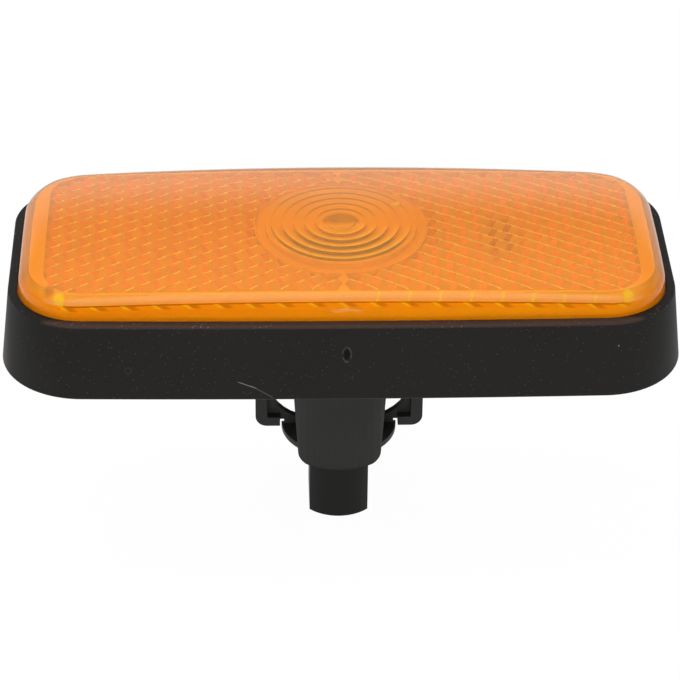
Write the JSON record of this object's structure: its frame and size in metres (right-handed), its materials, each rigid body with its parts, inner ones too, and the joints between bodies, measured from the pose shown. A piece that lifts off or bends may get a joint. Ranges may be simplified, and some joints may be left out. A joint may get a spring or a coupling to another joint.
{
  "type": "side repeater lamp",
  "caption": "Amber side repeater lamp: rectangular reflex lens in a black rubber surround, with a black twist-in bulb holder and plug socket at the back.",
  "frame": {"origin": "centre of the panel cut-out, on the plane of the outer panel face that the rubber seats on", "axes": "+X along the lens, +Y across it to the side away from the camera, +Z outwards from the car panel through the lens"},
  "size_m": [0.1266, 0.0558, 0.0625],
  "materials": {
    "amber_plastic": "clear moulded amber, polished outside",
    "black_rubber": "moulded rubber, satin",
    "white_plastic": "moulded white, satin",
    "spring_steel": "bare stainless strip",
    "seal_rubber": "moulded rubber, matte",
    "black_plastic": "moulded black, satin",
    "contact_brass": "stamped strip, bare",
    "clear_glass": "blown clear glass",
    "filament_wire": "drawn wire, grey",
    "lead_wire": "drawn wire, bright"
  },
  "bodies": {
    "root": {"lens": "amber_plastic", "gasket": "black_rubber", "housing": "white_plastic", "retaining_spring": "spring_steel", "holder_seal": "seal_rubber", "bulb_holder": "black_plastic", "front_contact": "contact_brass", "rear_contact": "contact_brass", "bulb_glass": "clear_glass", "filament": "filament_wire", "front_lead_wire": "lead_wire", "rear_lead_wire": "lead_wire"}
  },
  "joints": []
}
